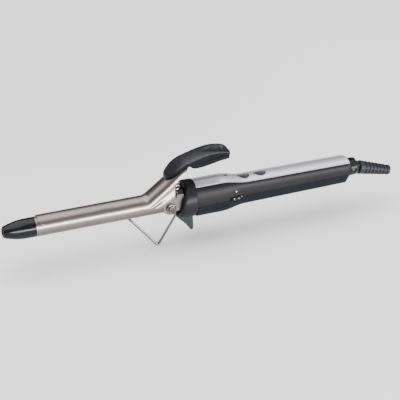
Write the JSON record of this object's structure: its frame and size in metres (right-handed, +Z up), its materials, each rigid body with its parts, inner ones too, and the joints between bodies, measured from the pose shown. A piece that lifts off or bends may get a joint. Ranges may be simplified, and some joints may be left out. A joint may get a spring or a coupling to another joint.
{
  "type": "curling iron",
  "caption": "Hair curling iron: heated barrel with a sprung spoon clamp and thumb lever, fold-out wire stand, moulded handle with thumbwheel, push buttons and swivelling cord guard.",
  "frame": {"origin": "bottom centre of the bounding box: under the middle of the iron, level with the lowest point of the wire stand's foot", "axes": "+X along the barrel's axis towards the cord end, +Y sideways across the handle, +Z up through the clamp's lever"},
  "size_m": [0.3934, 0.036, 0.0909],
  "materials": {
    "titanium": "satin titanium coat",
    "tip_plastic": "glossy black",
    "ceramic": "fired ceramic",
    "aluminium": "milled",
    "lever_plastic": "satin black",
    "steel": "plain steel",
    "screw_steel": "plated screw",
    "chrome": "bright chrome",
    "shell_plastic": "satin charcoal",
    "lower_plastic": "satin blue-black",
    "fin_plastic": "satin slate",
    "silver": "satin silver paint",
    "button_metal": "satin grey",
    "dial_plastic": "satin black",
    "red_lens": "clear dark red",
    "black_plastic": "plain black",
    "board_green": "board lacquer",
    "blue_sleeve": "shrink sleeve",
    "lead_sleeve": "glass braid sleeve",
    "brass": "bright brass",
    "phenolic": "brown phenolic",
    "guard_rubber": "matt flexible vinyl"
  },
  "bodies": {
    "handle": {"barrel_insulator": "phenolic", "barrel_tube": "titanium", "capacitor": "blue_sleeve", "case_screw_1": "steel", "case_screw_2": "steel", "case_screw_3": "steel", "circuit_board": "board_green", "clamp_spring": "steel", "collar": "shell_plastic", "collar_fin": "fin_plastic", "contact_spring_left": "brass", "contact_spring_right": "brass", "cool_tip": "tip_plastic", "dial_axle": "steel", "handle_lower_shell": "lower_plastic", "handle_upper_shell": "shell_plastic", "heater_core": "ceramic", "heater_lead_left": "lead_sleeve", "heater_lead_right": "lead_sleeve", "heater_shoe_lower": "aluminium", "heater_shoe_upper": "aluminium", "indicator_led": "red_lens", "indicator_lens": "red_lens", "off_switch": "black_plastic", "on_switch": "black_plastic", "pivot_bracket": "steel", "pivot_screw_far": "screw_steel", "pivot_screw_near": "screw_steel", "potentiometer": "black_plastic", "supply_lead_left": "lead_sleeve", "supply_lead_right": "lead_sleeve", "temperature_probe": "ceramic", "top_panel": "silver", "triac": "black_plastic", "triac_heat_sink": "aluminium"},
    "clamp": {"clamp_spoon": "titanium", "lever_cover": "lever_plastic", "lever_base": "lever_plastic", "lever_rivet_front": "steel", "lever_rivet_rear": "steel"},
    "stand": {"wire_stand": "chrome"},
    "on_button": {"on_button": "button_metal"},
    "off_button": {"off_button": "button_metal"},
    "dial": {"temperature_dial": "dial_plastic"},
    "swivel": {"swivel_core": "shell_plastic", "swivel_pin": "steel", "contact_ring_front": "brass", "contact_ring_rear": "brass"},
    "guard": {"cord_guard": "guard_rubber"}
  },
  "joints": [
    {"name": "clamp_hinge", "type": "hinge", "parent": "handle", "child": "clamp", "pos_m": [-0.03779, 0, 0.04267], "axis": [0, 1, 0], "range_deg": [0, 8], "stiffness_Nm_per_rad": 0.5, "springref_deg": -28.65, "deforming": ["clamp_spring"]},
    {"name": "stand_fold", "type": "hinge", "parent": "handle", "child": "stand", "pos_m": [-0.03779, -0.0142, 0.04267], "axis": [0, -1, 0], "range_deg": [0, 30]},
    {"name": "on_button_press", "type": "slide", "parent": "handle", "child": "on_button", "axis": [0, 0, -1], "range_m": [0, 0.0008], "stiffness_N_per_m": 400, "springref_m": -0.0005},
    {"name": "off_button_press", "type": "slide", "parent": "handle", "child": "off_button", "axis": [0, 0, -1], "range_m": [0, 0.0008], "stiffness_N_per_m": 400, "springref_m": -0.0005},
    {"name": "dial_turn", "type": "hinge", "parent": "handle", "child": "dial", "pos_m": [0.02771, -0.00538, 0.04037], "axis": [0, 0, 1], "range_deg": [-135, 135]},
    {"name": "swivel_turn", "type": "hinge", "parent": "handle", "child": "swivel", "pos_m": [0.14621, 0, 0.04347], "axis": [1, 0, 0], "continuous": true},
    {"name": "guard_tilt", "type": "hinge", "parent": "swivel", "child": "guard", "pos_m": [0.15371, 0, 0.04347], "axis": [0, 1, 0], "range_deg": [-41, 9]}
  ]
}
